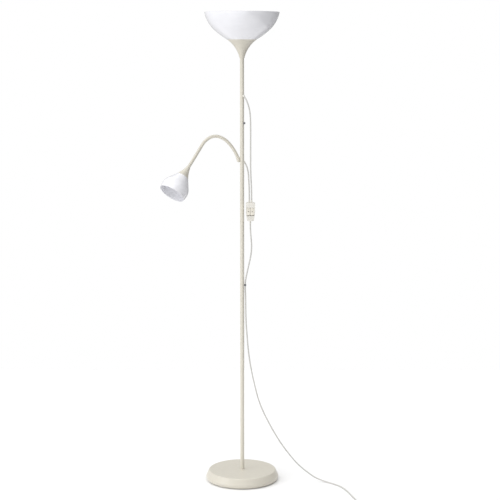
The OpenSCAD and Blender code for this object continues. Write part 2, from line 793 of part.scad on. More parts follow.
module rocker_axle() {
    color(STEEL) at_switch() translate([1.3 - switch_w / 2, 0, axle_up]) rotate([0, 90, 0])
        cylinder(r = axle_r, h = switch_w - 2.6);
}

// A rocker tips about the axle: side is -1 for the left one and 1 for the right one
module rocker(side) {
    half = rocker_l / 2;
    color(IVORY) at_switch()
        translate([side * (rocker_w + rocker_gap) / 2 - rocker_w / 2, 0, axle_up])
            rotate([-rocker_tip, 0, 0]) rotate([90, 0, 90]) difference() {
                linear_extrude(rocker_w) polygon([[-half, rocker_end], [-half + 1, 1],
                    [-half + 3.5, -2.6], [half - 3.5, -2.6], [half - 1, 1], [half, rocker_end],
                    [0, rocker_mid]]);
                translate([0, 0, -1]) cylinder(r = axle_r + slip, h = rocker_w + 2);
            }
}

module switch_terminals() {
    color(BRASS) at_switch() for (p = [[-8.5, 19], [8.5, 19], [-7, -20], [7, -20]])
        translate([p.x, p.y, switch_wall - half_t]) difference() {
            translate([-3, -4.5, 0]) cube([6, 9, 6]);
            translate([0, 1.5, 1.5]) cylinder(r = 1.3, h = 6);
        }
}

module cord_sleeve() {
    difference() {
        union() {
            cylinder(r1 = sleeve_r, r2 = sleeve_tip_r, h = sleeve_l);
            translate([0, 0, -switch_wall]) cylinder(r = sleeve_r, h = switch_wall + eps);
            translate([0, 0, -switch_wall - 1.5]) cylinder(r = sleeve_r + 0.7, h = 1.4);
            translate([0, 0, -switch_wall - 0.5]) cylinder(r = sleeve_r, h = 1);
        }
        translate([0, 0, -6]) cylinder(r = cord_r + slip, h = sleeve_l + 7);
    }
}

module cord_sleeves() {
    color(WHITE) at_switch() {
        for (x = CORD_X) translate([x, switch_h / 2, 0]) rotate([-90, 0, 0]) cord_sleeve();
        translate([MAINS_X, -switch_h / 2, 0]) rotate([90, 0, 0]) cord_sleeve();
    }
}

// ---------- Cords and plug ----------

module light_cord(b, route, a) {
    tip = bush_point(b, bush_out);
    swept(concat([bush_point(b, -bush_in), tip],
                 fitted(route, 1075, a, switch_top + sleeve_l, tip.z)), cord_r);
}

module uplight_cord() { color(LEAD) light_cord(UP_BUSH, UPLIGHT_ROUTE, 1453.5); }
module reading_cord() { color(LEAD) light_cord(READ_BUSH, READING_ROUTE, 1210); }
module mains_cord() {
    color(LEAD) swept(fitted(MAINS_ROUTE, 2.5, 987, cord_r, switch_foot - sleeve_l), cord_r);
}
module mains_tail() { color(LEAD) swept(fitted(TAIL_ROUTE, 7, 8, plug_t / 2, plug_t / 2 + 1), cord_r); }

module at_coil() { translate([coil_at.x, coil_at.y, 0]) children(); }

module mains_coil() {
    color(LEAD) at_coil() rotate_extrude() translate([coil_r - cord_d, coil_lift])
        square([2 * cord_d, 2 * cord_d]);
}

module coil_tie() {
    gap = 0.1;
    in_w = 2 * (cord_d + gap);
    color(GREY) at_coil() rotate([0, 0, tie_at]) rotate_extrude(angle = tie_span) difference() {
        translate([coil_r - in_w / 2 - tie_t, 0]) square([in_w + 2 * tie_t, in_w + coil_lift + tie_t]);
        translate([coil_r - in_w / 2, coil_lift - slip]) square([in_w, in_w]);
    }
}

module at_plug() { translate([plug_at.x, plug_at.y, plug_t / 2]) children(); }

module plug_body() {
    half = plug_w / 2;
    color(WHITE) at_plug() difference() {
        union() {
            rotate([0, 90, 0]) cylinder(r1 = cord_r + 0.7, r2 = 5.2, h = plug_neck_l + 1);
            translate([plug_neck_l, 0, -plug_t / 2]) linear_extrude(plug_t)
                polygon(rounded([[0, 6], [0, -6], [9, -8], [22, -half], [plug_l_body, -half + 1],
                    [plug_l_body, half - 1], [22, half], [9, 8]], [2, 2, 8, 6, 3, 3, 6, 8]));
        }
        translate([plug_neck_l + plug_l_body - 6, 0, 0]) for (s = [-1, 1])
            translate([0, s * pin_pitch / 2, 0]) rotate([0, 90, 0]) cylinder(r = pin_d / 2 - 0.5, h = 7);
    }
}

module plug_pins() {
    tip = 0.8;
    color(STEEL) at_plug() for (s = [-1, 1])
        translate([plug_neck_l + plug_l_body, s * pin_pitch / 2, 0]) rotate([0, 90, 0]) {
            cylinder(r = pin_d / 2, h = pin_l - tip);
            translate([0, 0, pin_l - tip - eps]) cylinder(r1 = pin_d / 2, r2 = pin_d / 2 - tip, h = tip);
            translate([0, 0, -6]) cylinder(r = pin_d / 2 - 0.5, h = 6 + eps);
        }
}

base_pad();
base_ballast();
base_cover();
base_washer();
base_nut();
base_stud();
pole_foot_plug();
pole_lower();
coupler(joint_1);  // coupler_lower
pole_middle();
coupler(joint_2);  // coupler_upper
pole_upper();
pole_top_plug();
uplight_nipple();
uplight_cone();
uplight_lampholder();
uplight_contacts();
uplight_shade_ring();
uplight_bowl();
uplight_bulb_cap();
uplight_bulb_glass();
uplight_lead();
cord_bush(UP_BUSH);  // uplight_cord_bush
cord_bush(READ_BUSH);  // reading_cord_bush
reading_lead();
cord_clip(joint_2 + upper_clip_up, UPPER_CLIP_AZIMUTH);  // cord_clip_upper
cord_clip(joint_1 + lower_clip_up, 0);  // cord_clip_lower
arm_socket();
arm_link(1);  // arm_link_1
arm_link(2);  // arm_link_2
arm_link(3);  // arm_link_3
arm_link(4);  // arm_link_4
arm_link(5);  // arm_link_5
arm_link(6);  // arm_link_6
arm_link(7);  // arm_link_7
arm_link(8);  // arm_link_8
reading_nipple();
reading_cone();
reading_lampholder();
reading_contacts();
reading_shade_ring();
reading_shade();
reading_bulb_cap();
reading_bulb_glass();
switch_front();
switch_back();
rocker_axle();
rocker(1);  // uplight_rocker
rocker(-1);  // reading_rocker
switch_terminals();
switch_screws();
cord_sleeves();
uplight_cord();
reading_cord();
mains_cord();
mains_coil();
mains_tail();
coil_tie();
plug_body();
plug_pins();
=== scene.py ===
"""Builds the looks of a torchiere floor lamp with a reading arm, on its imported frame."""

import json
import math

import bpy
from bpy.props import FloatProperty, FloatVectorProperty, IntProperty, PointerProperty
from mathutils import Matrix, Vector

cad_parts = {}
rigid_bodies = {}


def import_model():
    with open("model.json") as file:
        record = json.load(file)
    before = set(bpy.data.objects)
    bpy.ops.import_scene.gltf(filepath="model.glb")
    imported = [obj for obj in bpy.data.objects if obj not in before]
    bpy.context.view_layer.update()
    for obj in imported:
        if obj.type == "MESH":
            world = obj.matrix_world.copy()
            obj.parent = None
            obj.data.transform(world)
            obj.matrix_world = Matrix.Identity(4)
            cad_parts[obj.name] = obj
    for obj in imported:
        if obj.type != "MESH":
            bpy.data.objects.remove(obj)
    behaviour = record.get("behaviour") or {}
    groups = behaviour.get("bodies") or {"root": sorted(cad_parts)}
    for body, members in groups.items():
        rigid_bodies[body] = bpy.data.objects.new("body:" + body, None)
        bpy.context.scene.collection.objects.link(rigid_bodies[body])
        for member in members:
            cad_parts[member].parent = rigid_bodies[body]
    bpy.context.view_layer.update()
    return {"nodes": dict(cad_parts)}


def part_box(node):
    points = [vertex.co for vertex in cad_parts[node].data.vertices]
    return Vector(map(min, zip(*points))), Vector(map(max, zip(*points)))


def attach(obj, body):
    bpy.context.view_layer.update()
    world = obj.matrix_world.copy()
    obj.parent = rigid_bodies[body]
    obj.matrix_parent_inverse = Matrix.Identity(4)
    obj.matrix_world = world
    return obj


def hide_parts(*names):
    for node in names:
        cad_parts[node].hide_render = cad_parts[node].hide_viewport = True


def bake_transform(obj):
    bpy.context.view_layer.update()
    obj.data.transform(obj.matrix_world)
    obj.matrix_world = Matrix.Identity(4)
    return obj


bl_info = {
    "name": "Torchiere Floor Lamp",
    "version": (1, 0, 0),
    "blender": (4, 5, 0),
    "location": "View3D > Sidebar > Lamp",
    "description": "Cords, bendable arm, moulded parts and finishes of a torchiere floor lamp",
    "category": "Add Mesh",
}

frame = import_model()
NODES = frame["nodes"]


# ---------------------------------------------------------------- settings


class LampSizes(bpy.types.PropertyGroup):
    """Sizes of the pieces that are modelled here."""

    cord: FloatProperty(
        name="Cord diameter", description="Diameter of the three cords",
        default=0.005, min=0.003, max=0.008, unit="LENGTH",
    )
    hose: FloatProperty(
        name="Arm diameter", description="Outer diameter of the bendable arm's hose",
        default=0.012, min=0.006, max=0.014, unit="LENGTH",
    )
    hose_groove: FloatProperty(
        name="Hose groove", description="Depth of the grooves between the hose's turns",
        default=0.0004, min=0.0001, max=0.001, unit="LENGTH",
    )
    hose_turns: IntProperty(
        name="Turns a link", description="Turns of the hose along one link of the arm",
        default=15, min=6, max=24,
    )
    edge: FloatProperty(
        name="Moulded edge", description="Radius on the edges of the switch's moulded parts",
        default=0.0011, min=0.0002, max=0.002, unit="LENGTH",
    )


class LampColours(bpy.types.PropertyGroup):
    """Colours of the finishes."""

    enamel: FloatVectorProperty(
        name="Enamel", description="Powder coat on the pole, the base and the cones",
        subtype="COLOR", size=3, min=0, max=1, default=(0.60, 0.57, 0.495),
    )
    shade: FloatVectorProperty(
        name="Shades", description="Glossy plastic of both shades",
        subtype="COLOR", size=3, min=0, max=1, default=(0.79, 0.79, 0.82),
    )
    switch: FloatVectorProperty(
        name="Switch", description="Shells of the cord switch and the plug",
        subtype="COLOR", size=3, min=0, max=1, default=(0.68, 0.66, 0.61),
    )
    rocker: FloatVectorProperty(
        name="Rockers", description="The two rockers of the cord switch",
        subtype="COLOR", size=3, min=0, max=1, default=(0.70, 0.665, 0.585),
    )
    cord: FloatVectorProperty(
        name="Cord", description="Sheath of the cords",
        subtype="COLOR", size=3, min=0, max=1, default=(0.53, 0.52, 0.495),
    )
    clip: FloatVectorProperty(
        name="Clips", description="Cord clips and the tie",
        subtype="COLOR", size=3, min=0, max=1, default=(0.15, 0.15, 0.16),
    )
    floor: FloatVectorProperty(
        name="Floor", description="The studio's floor",
        subtype="COLOR", size=3, min=0, max=1, default=(0.90, 0.90, 0.90),
    )


def sizes():
    return bpy.context.scene.lamp_sizes


def colours():
    return bpy.context.scene.lamp_colours


# ---------------------------------------------------------------- shader wiring


class Wire:
    """An output socket that can be used in arithmetic."""

    def __init__(self, finish, socket):
        self.finish = finish
        self.socket = socket

    def _join(self, operation, a, b):
        return self.finish.node("ShaderNodeMath", {"operation": operation}, {0: a, 1: b})

    def __add__(self, other):
        return self._join("ADD", self, other)

    def __radd__(self, other):
        return self._join("ADD", other, self)

    def __sub__(self, other):
        return self._join("SUBTRACT", self, other)

    def __rsub__(self, other):
        return self._join("SUBTRACT", other, self)

    def __mul__(self, other):
        return self._join("MULTIPLY", self, other)

    def __rmul__(self, other):
        return self._join("MULTIPLY", other, self)

    def __pow__(self, other):
        return self._join("POWER", self, other)


class Finish:
    """A material that is built node by node around one Principled shader."""

    def __init__(self, name, **constants):
        self.material = bpy.data.materials.new(name)
        self.material.use_nodes = True
        self.tree = self.material.node_tree
        self.tree.nodes.clear()
        self.output = self.tree.nodes.new("ShaderNodeOutputMaterial")
        self.shader = self.tree.nodes.new("ShaderNodeBsdfPrincipled")
        self.tree.links.new(self.shader.outputs["BSDF"], self.output.inputs["Surface"])
        for key, value in constants.items():
            self.shader.inputs[key.replace("_", " ")].default_value = value

    def plug(self, socket, value):
        if isinstance(value, Wire):
            self.tree.links.new(value.socket, socket)
        elif hasattr(value, "__len__") and len(value) == 3 and socket.type == "RGBA":
            socket.default_value = (*value, 1.0)
        else:
            socket.default_value = value

    def node(self, kind, settings=None, inputs=None, out=0):
        made = self.tree.nodes.new(kind)
        for key, value in (settings or {}).items():
            if key == "stops":
                ramp = made.color_ramp
                while len(ramp.elements) < len(value):
                    ramp.elements.new(0.5)
                for element, (place, shade) in zip(ramp.elements, value):
                    element.position = place
                    element.color = (shade, shade, shade, 1.0)
            else:
                setattr(made, key, value)
        for key, value in (inputs or {}).items():
            self.plug(made.inputs[key], value)
        return Wire(self, made.outputs[out])

    def place(self):
        return self.node("ShaderNodeTexCoord", out="Object")

    def stretched(self, scale):
        return self.node("ShaderNodeMapping", {"vector_type": "POINT"},
                         {"Vector": self.place(), "Scale": scale})

    def noise(self, scale, detail=3.0, roughness=0.5, vector=None):
        return self.node(
            "ShaderNodeTexNoise", {"noise_dimensions": "3D"},
            {"Vector": vector or self.place(), "Scale": scale, "Detail": detail,
             "Roughness": roughness},
        )

    def specks(self, scale, low, high):
        cells = self.node("ShaderNodeTexVoronoi", {"feature": "F1"},
                          {"Vector": self.place(), "Scale": scale}, out="Distance")
        return self.ramp(cells, [(low, 1.0), (high, 0.0)])

    def ramp(self, value, stops):
        return self.node("ShaderNodeValToRGB", {"stops": stops}, {"Fac": value})

    def blend(self, factor, a, b):
        made = self.tree.nodes.new("ShaderNodeMix")
        made.data_type = "RGBA"
        self.plug(made.inputs[0], factor)
        self.plug(made.inputs[6], a)
        self.plug(made.inputs[7], b)
        return Wire(self, made.outputs[2])

    def worn(self, amount=0.012):
        """Bright where the surface turns outwards sharply: edges and rims."""
        sharp = self.node("ShaderNodeNewGeometry", out="Pointiness")
        return self.ramp(sharp, [(0.5 + amount, 0.0), (0.5 + 4 * amount, 1.0)])

    def height(self):
        return self.node("ShaderNodeSeparateXYZ", {}, {"Vector": self.place()}, out="Z")

    def bump(self, height, strength, distance):
        return self.node(
            "ShaderNodeBump", {}, {"Height": height, "Strength": strength, "Distance": distance}
        )

    def wear(self, **links):
        for key, value in links.items():
            self.plug(self.shader.inputs[key.replace("_", " ")], value)
        return self.material


def tint(colour, k):
    return tuple(min(1.0, c * k) for c in colour)


def warm(colour, r, g, b):
    return (min(1, colour[0] * r), min(1, colour[1] * g), min(1, colour[2] * b))


# ---------------------------------------------------------------- finishes

SEAM_HALF_WIDTH = 0.00035   # of the dark hairline where two tubes of the pole meet


def enamel_finish():
    """Powder coat: fine orange peel, handling marks, a hairline where two tubes meet."""
    base = colours().enamel[:]
    f = Finish("cream_enamel", IOR=1.5)
    peel = f.noise(900.0, 2.0, 0.5)
    cloud = f.noise(9.0, 4.0, 0.6)
    rubbed = f.ramp(f.noise(60.0, 5.0, 0.65), [(0.46, 0.0), (0.72, 1.0)])
    colour = f.blend(cloud, tint(base, 0.955), tint(base, 1.04))
    colour = f.blend(rubbed * 0.16, colour, warm(base, 0.93, 0.90, 0.86))
    colour = f.blend(f.worn() * 0.2, colour, tint(base, 1.12))
    up = f.height()
    line = None
    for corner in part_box("pole_middle"):
        away = f.node("ShaderNodeMath", {"operation": "ABSOLUTE"}, {0: up - corner[2]})
        near = f.node("ShaderNodeMath", {"operation": "LESS_THAN"},
                      {0: away, 1: SEAM_HALF_WIDTH})
        line = near if line is None else line + near
    colour = f.blend(line * 0.45, colour, tint(base, 0.35))
    return f.wear(
        Base_Color=colour,
        Roughness=0.27 + 0.10 * rubbed + 0.06 * cloud,
        Normal=f.bump(peel + 0.6 * cloud - 2.0 * line, 0.16, 0.0004),
    )


def shade_finish():
    """Glossy injection-moulded plastic with faint flow lines and a little dust."""
    base = colours().shade[:]
    f = Finish("glossy_shade_plastic", IOR=1.52, Coat_Roughness=0.06)
    flow = f.noise(14.0, 4.0, 0.55, f.stretched((1.0, 1.0, 0.35)))
    fine = f.noise(1500.0, 2.0, 0.5)
    dust = f.ramp(f.noise(130.0, 6.0, 0.7), [(0.52, 0.0), (0.78, 1.0)])
    colour = f.blend(flow, warm(base, 0.965, 0.97, 0.985), warm(base, 1.03, 1.025, 1.02))
    colour = f.blend(dust * 0.10, colour, warm(base, 0.93, 0.91, 0.88))
    return f.wear(
        Base_Color=colour,
        Roughness=0.16 + 0.12 * dust + 0.05 * flow,
        Coat_Weight=0.55 - 0.3 * dust,
        Normal=f.bump(flow + 0.05 * fine, 0.05, 0.0015),
    )


def moulded_finish(name, base, grain, rough):
    """Spark-textured housing plastic, a little yellowed and polished where it is handled."""
    f = Finish(name, IOR=1.46)
    pits = f.noise(grain, 2.0, 0.6)
    cloud = f.noise(45.0, 4.0, 0.6)
    grime = f.ramp(f.noise(220.0, 5.0, 0.7), [(0.50, 0.0), (0.76, 1.0)])
    colour = f.blend(cloud, tint(base, 0.96), tint(base, 1.03))
    colour = f.blend(grime * 0.18, colour, warm(base, 0.86, 0.83, 0.77))
    colour = f.blend(f.worn() * 0.25, colour, tint(base, 1.1))
    return f.wear(
        Base_Color=colour,
        Roughness=rough + 0.12 * grime - 0.06 * cloud,
        Normal=f.bump(pits, 0.18, 0.00012),
    )


DIMPLE_R, DIMPLE_CORE_R = 0.0026, 0.0020     # of the hollow in each rocker and its floor; the floor is painted dark as shade


def rocker_finish(name, base, x, z):
    """Glossy rocker plastic, with a small hollow bumped in at the rocker's middle and painted
    shade in it.
    """
    f = Finish(name, IOR=1.48, Coat_Roughness=0.1)
    across, up = (f.node("ShaderNodeSeparateXYZ", {}, {"Vector": f.place()}, out=axis)
                  for axis in "XZ")
    away = ((across - x) ** 2.0 + (up - z) ** 2.0) ** 0.5
    dimple_and_shade = f.ramp(away * (1 / DIMPLE_R), [(DIMPLE_CORE_R / DIMPLE_R, 1.0), (1.0, 0.0)])
    cloud = f.noise(60.0, 4.0, 0.6)
    grime = f.ramp(f.noise(260.0, 5.0, 0.7), [(0.50, 0.0), (0.76, 1.0)])
    colour = f.blend(cloud, tint(base, 0.97), tint(base, 1.03))
    colour = f.blend(grime * 0.2, colour, warm(base, 0.88, 0.85, 0.79))
    # painted shade: the hollow's floor is darkened as if shaded
    colour = f.blend(dimple_and_shade * 0.8, colour, tint(base, 0.30))
    return f.wear(
        Base_Color=colour,
        Roughness=0.24 + 0.15 * grime,
        Coat_Weight=0.4 - 0.3 * grime,
        Normal=f.bump(0.1 * cloud - dimple_and_shade, 0.5, 0.0006),
    )


def cord_finish():
    """Soft PVC sheath: matt skin, cloudy tone and scuffs."""
    base = colours().cord[:]
    f = Finish("pvc_sheath", IOR=1.5)
    skin = f.noise(1400.0, 3.0, 0.6)
    cloud = f.noise(30.0, 4.0, 0.6)
    scuff = f.ramp(f.noise(300.0, 6.0, 0.75), [(0.53, 0.0), (0.75, 1.0)])
    colour = f.blend(cloud, tint(base, 0.93), tint(base, 1.05))
    colour = f.blend(scuff * 0.3, colour, warm(base, 0.80, 0.78, 0.74))
    return f.wear(
        Base_Color=colour,
        Roughness=0.42 + 0.2 * scuff,
        Normal=f.bump(skin + 0.5 * cloud, 0.2, 0.0002),
    )


def metal_finish(name, base, rough, brushed=(1.0, 1.0, 0.06), dull=0.2):
    """Turned or plated metal: lathe marks, dull patches and brighter edges."""
    f = Finish(name, Metallic=1.0)
    marks = f.noise(1600.0, 3.0, 0.6, f.stretched(brushed))
    patch = f.ramp(f.noise(140.0, 5.0, 0.65), [(0.40, 0.0), (0.75, 1.0)])
    colour = f.blend(patch, base, warm(base, 0.80, 0.78, 0.74))
    colour = f.blend(f.worn() * 0.5, colour, tint(base, 1.2))
    return f.wear(
        Base_Color=colour,
        Roughness=rough + dull * patch + 0.06 * marks,
        Normal=f.bump(marks, 0.12, 0.0001),
    )


def concrete_finish():
    """Cast ballast: cement paste with sand and open pores."""
    f = Finish("cast_concrete")
    cloud = f.noise(35.0, 6.0, 0.65)
    sand = f.specks(700.0, 0.10, 0.42)
    pores = f.specks(160.0, 0.05, 0.16)
    colour = f.blend(cloud, (0.30, 0.29, 0.275), (0.46, 0.45, 0.43))
    colour = f.blend(sand * 0.4, colour, (0.58, 0.54, 0.48))
    colour = f.blend(pores, colour, (0.13, 0.125, 0.12))
    return f.wear(
        Base_Color=colour,
        Roughness=0.82 + 0.12 * cloud,
        Normal=f.bump(cloud + 0.4 * sand - 1.2 * pores, 0.6, 0.0012),
    )


def felt_finish():
    """Needled felt pad: short crossed fibres."""
    f = Finish("grey_felt", Sheen_Weight=0.35, Sheen_Roughness=0.6)
    one = f.noise(1200.0, 4.0, 0.7, f.stretched((1.0, 0.12, 1.0)))
    two = f.noise(1200.0, 4.0, 0.7, f.stretched((0.12, 1.0, 1.0)))
    fibre = one * 0.5 + two * 0.5
    return f.wear(
        Base_Color=f.blend(fibre, (0.03, 0.03, 0.032), (0.12, 0.12, 0.125)),
        Roughness=0.85 + 0.1 * fibre,
        Normal=f.bump(fibre, 0.7, 0.0008),
    )


def glass_finish():
    """Frosted bulb: the white coating inside the glass, cloudy in patches."""
    f = Finish("frosted_bulb", IOR=1.5, Coat_Roughness=0.08)
    coat = f.noise(60.0, 4.0, 0.6)
    grain = f.noise(2500.0, 2.0, 0.5)
    return f.wear(
        Base_Color=f.blend(coat, (0.80, 0.80, 0.79), (0.90, 0.90, 0.885)),
        Roughness=0.30 + 0.15 * coat,
        Coat_Weight=0.6 - 0.2 * coat,
        Normal=f.bump(grain, 0.06, 0.00008),
    )


def studio_finish():
    """Seamless paper under the lamp, with a little tooth."""
    base = colours().floor[:]
    f = Finish("studio_paper")
    tooth = f.noise(500.0, 4.0, 0.6)
    return f.wear(
        Base_Color=f.blend(tooth, tint(base, 0.99), base),
        Roughness=0.75 + 0.1 * tooth,
        Normal=f.bump(tooth, 0.03, 0.0002),
    )


# ---------------------------------------------------------------- modelling helpers

SAME_PLACE = 0.00001        # points nearer than this are one point
FLAT_ANGLE = 0.5            # faces that turn less than this, in degrees, are one face
SMOOTH_ANGLE = 40           # edges of moulded parts that turn less are shaded smooth


def nothing_selected():
    if bpy.context.object and bpy.context.object.mode != "OBJECT":
        bpy.ops.object.mode_set(mode="OBJECT")
    bpy.ops.object.select_all(action="DESELECT")


def only(piece):
    nothing_selected()
    piece.select_set(True)
    bpy.context.view_layer.objects.active = piece


def painted(piece, material):
    piece.data.materials.clear()
    piece.data.materials.append(material)
    return piece


def named(piece, name):
    piece.name = name
    piece.data.name = name
    return piece


def settled(piece):
    """Puts the piece's place and turn into its mesh."""
    only(piece)
    bpy.ops.object.transform_apply(location=True, rotation=True, scale=True)
    return piece


def outward(piece, smooth):
    """Turns all faces outwards and shades edges smooth that turn less than smooth degrees."""
    only(piece)
    bpy.ops.object.mode_set(mode="EDIT")
    bpy.ops.mesh.select_all(action="SELECT")
    bpy.ops.mesh.remove_doubles(threshold=SAME_PLACE)
    bpy.ops.mesh.normals_make_consistent(inside=False)
    bpy.ops.object.mode_set(mode="OBJECT")
    bpy.ops.object.shade_smooth_by_angle(angle=math.radians(smooth))
    return piece


def applied(piece, kind, **settings):
    only(piece)
    bpy.ops.object.modifier_add(type=kind)
    modifier = piece.modifiers[-1]
    for key, value in settings.items():
        setattr(modifier, key, value)
    bpy.ops.object.modifier_apply(modifier=modifier.name)
    return piece


def copy_of(piece, name):
    only(piece)
    bpy.ops.object.duplicate(linked=False)
    return named(bpy.context.object, name)


def eased(node, name, body, width, angle=35):
    """A copy of a CAD part on its body, with edges that turn more than angle rounded."""
    piece = copy_of(NODES[node], name)
    bpy.ops.object.parent_clear(type="CLEAR_KEEP_TRANSFORM")
    bpy.ops.object.mode_set(mode="EDIT")
    bpy.ops.mesh.select_all(action="SELECT")
    bpy.ops.mesh.remove_doubles(threshold=SAME_PLACE)
    bpy.ops.mesh.dissolve_limited(angle_limit=math.radians(FLAT_ANGLE), delimit=set())
    bpy.ops.object.mode_set(mode="OBJECT")
    applied(piece, "BEVEL", width=width, segments=3, limit_method="ANGLE",
            angle_limit=math.radians(angle), use_clamp_overlap=True, harden_normals=False)
    only(piece)
    bpy.ops.object.shade_smooth_by_angle(angle=math.radians(SMOOTH_ANGLE))
    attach(piece, body)
    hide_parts(node)
    return piece


# ---------------------------------------------------------------- cords

# Middle lines of the cords, in millimetres, as they are in the model
UPLIGHT_ROUTE = [
    (3.3, -2.8, 1460.2), (8.5, -7.1, 1453.5), (13, -11, 1447), (17, -14, 1439), (21, -16, 1429),
    (24.5, -17.5, 1418), (27.5, -18.5, 1405), (29.5, -19, 1390), (31, -19, 1370),
    (31.5, -19, 1345), (31.5, -19, 1310), (31.5, -19, 1270), (31.5, -19, 1230),
    (31.5, -19, 1190), (32.5, -18.5, 1160), (34, -18, 1130), (35, -18, 1102), (35, -18, 1075),
]
READING_ROUTE = [
    (4.6, 0, 1217.1), (10.7, 0, 1209.9), (14, -0.5, 1204.5), (17, -1.5, 1197.5),
    (19.5, -3, 1189.5), (21.5, -5, 1180.5), (23, -7, 1171), (24, -9, 1161), (24.5, -11, 1150.5),
    (25, -13, 1140), (25.5, -14.5, 1129.5), (26, -16, 1119), (26.5, -17, 1108),
    (26.5, -17.5, 1097), (26.5, -18, 1086), (26.5, -18, 1075),
]
MAINS_ROUTE = [
    (30.5, -18, 987), (31, -18, 965), (32.5, -17.5, 940), (34.5, -17, 915), (35, -15.5, 892),
    (32.5, -13, 868), (28.5, -10, 846), (23.5, -7, 823), (18.5, -4, 800), (14.5, -1.5, 780),
    (12, 0, 764), (11.5, 0, 752), (11.5, 0, 740), (12.5, -1, 715), (13, -3, 680),
    (14, -7, 625), (19, -13, 550), (25.5, -19, 485), (35, -25, 428), (48, -30, 370),
    (62, -34, 318), (80, -37, 272), (100, -39, 232), (123, -40, 190), (148, -41, 150),
    (174, -41, 114), (200, -41, 82), (226, -41, 56), (252, -41, 35), (277, -42, 18),
    (298, -43.5, 9), (314, -47, 4), (330, -58, 2.5), (346, -74, 2.5), (361, -92, 2.5),
    (375, -117, 2.5), (388, -152, 2.5), (400, -200, 2.5), (411, -245, 2.5), (417, -282, 2.5),
    (418, -318, 3),
]
TAIL_ROUTE = [(460, -360, 8), (466, -360, 8), (472, -360, 7.7), (478, -360, 7.2), (484, -360, 7)]
COIL_TO_TAIL = (454, -360, 8)

# The stored coil: two turns wide and two high. Lengths in millimetres, angles in degrees
COIL_AT = (448, -330)
COIL_START, COIL_END, COIL_STEP = 180, 1350, 18
COIL_R, COIL_FOOT = 30.0, 3.0   # of the turn that the cord comes in on
COIL_PITCH = 5.0                # between turns side by side and one above the other
# Angle at which the coil goes inwards, up and outwards again, and how long each takes
GO_IN, GO_UP, GO_OUT = (430, 80), (740, 90), (1050, 80)


def change(angle, start, spread):
    """How far a smooth change has come at an angle, from 0 to 1."""
    t = min(1.0, max(0.0, (angle - start) / spread))
    return t * t * (3 - 2 * t)


def coil_points():
    """The stored turns, entered from the left and left at the front."""
    points = []
    for angle in range(COIL_START, COIL_END + 1, COIL_STEP):
        inwards = change(angle, *GO_IN) - change(angle, *GO_OUT)
        radius = COIL_R - COIL_PITCH * inwards
        turn = math.radians(angle)
        points.append((
            COIL_AT[0] + radius * math.cos(turn), COIL_AT[1] + radius * math.sin(turn),
            COIL_FOOT + COIL_PITCH * change(angle, *GO_UP),
        ))
    return points


def cord_curve(name, points, diameter):
    """A round cord along points in millimetres."""
    line = bpy.data.curves.new(name, "CURVE")
    line.dimensions = "3D"
    line.resolution_u = 5
    line.bevel_depth = diameter / 2
    line.bevel_resolution = 4
    line.use_fill_caps = True
    spline = line.splines.new("BEZIER")
    spline.bezier_points.add(len(points) - 1)
    for knot, point in zip(spline.bezier_points, points):
        knot.co = [c / 1000 for c in point]
        knot.handle_left_type = "AUTO"
        knot.handle_right_type = "AUTO"
    piece = bpy.data.objects.new(name, line)
    bpy.context.scene.collection.objects.link(piece)
    return piece


class LAMP_OT_cords(bpy.types.Operator):
    """Adds the uplight cord, the reading cord and the mains cord with its stored coil"""

    bl_idname = "lamp.cords"
    bl_label = "Cords"

    def execute(self, context):
        d = sizes().cord
        sheath = cord_finish()
        up = painted(cord_curve("uplight_cord_sheath", UPLIGHT_ROUTE, d), sheath)
        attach(up, "stand")
        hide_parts("uplight_cord")
        read = painted(cord_curve("reading_cord_sheath", READING_ROUTE, d), sheath)
        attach(read, "stand")
        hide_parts("reading_cord")
        whole = MAINS_ROUTE + coil_points() + [COIL_TO_TAIL] + TAIL_ROUTE
        mains = painted(cord_curve("mains_cord_sheath", whole, d), sheath)
        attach(mains, "stand")
        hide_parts("mains_cord", "mains_coil", "mains_tail")
        return {"FINISHED"}


# ---------------------------------------------------------------- bendable arm

# The arm as it is in the model, in millimetres and degrees
LINK = 37.5
SOCKET_AT = (-12.5, 0, 1220)
SOCKET_LEAN = 18.5
SOCKET_START = 3                # from there to the first link
BLEND_REACH = 13                # distance to either side of a joint at which the arm's middle line is worked out; those points are not used
# Bend of each link in the arm's plane, and towards the front
BENDS = [(13, 0), (12, 0), (28, 0), (47, 3.5), (29, 8.5), (0, 9), (-2, 7.5), (0, 0)]


def link_step(bend, side, part=1.0):
    """From a link's start to a point along it, as a matrix in millimetres."""
    turn = math.radians(math.hypot(bend, side))
    if turn == 0:
        return Matrix.Translation((0, 0, LINK * part))
    roll = math.atan2(side, bend)
    r = LINK / turn
    turn *= part
    go = Matrix.Translation((r * (1 - math.cos(turn)), 0, r * math.sin(turn)))
    return (Matrix.Rotation(roll, 4, "Z") @ go @ Matrix.Rotation(turn, 4, "Y")
            @ Matrix.Rotation(-roll, 4, "Z"))


def link_starts():
    """Where each link starts, and where the last one ends, as matrices in millimetres."""
    at = (Matrix.Translation(SOCKET_AT) @ Matrix.Rotation(math.radians(-SOCKET_LEAN), 4, "Y")
          @ Matrix.Rotation(math.pi, 4, "Z") @ Matrix.Translation((0, 0, SOCKET_START)))
    starts = [at]
    for bend, side in BENDS:
        at = at @ link_step(bend, side)
        starts.append(at)
    return starts


def arm_point(starts, distance):
    """A point on the arm's middle line, in metres."""
    number = min(int(distance / LINK), len(BENDS) - 1)
    at = starts[number] @ link_step(*BENDS[number], (distance - number * LINK) / LINK)
    return at.translation / 1000


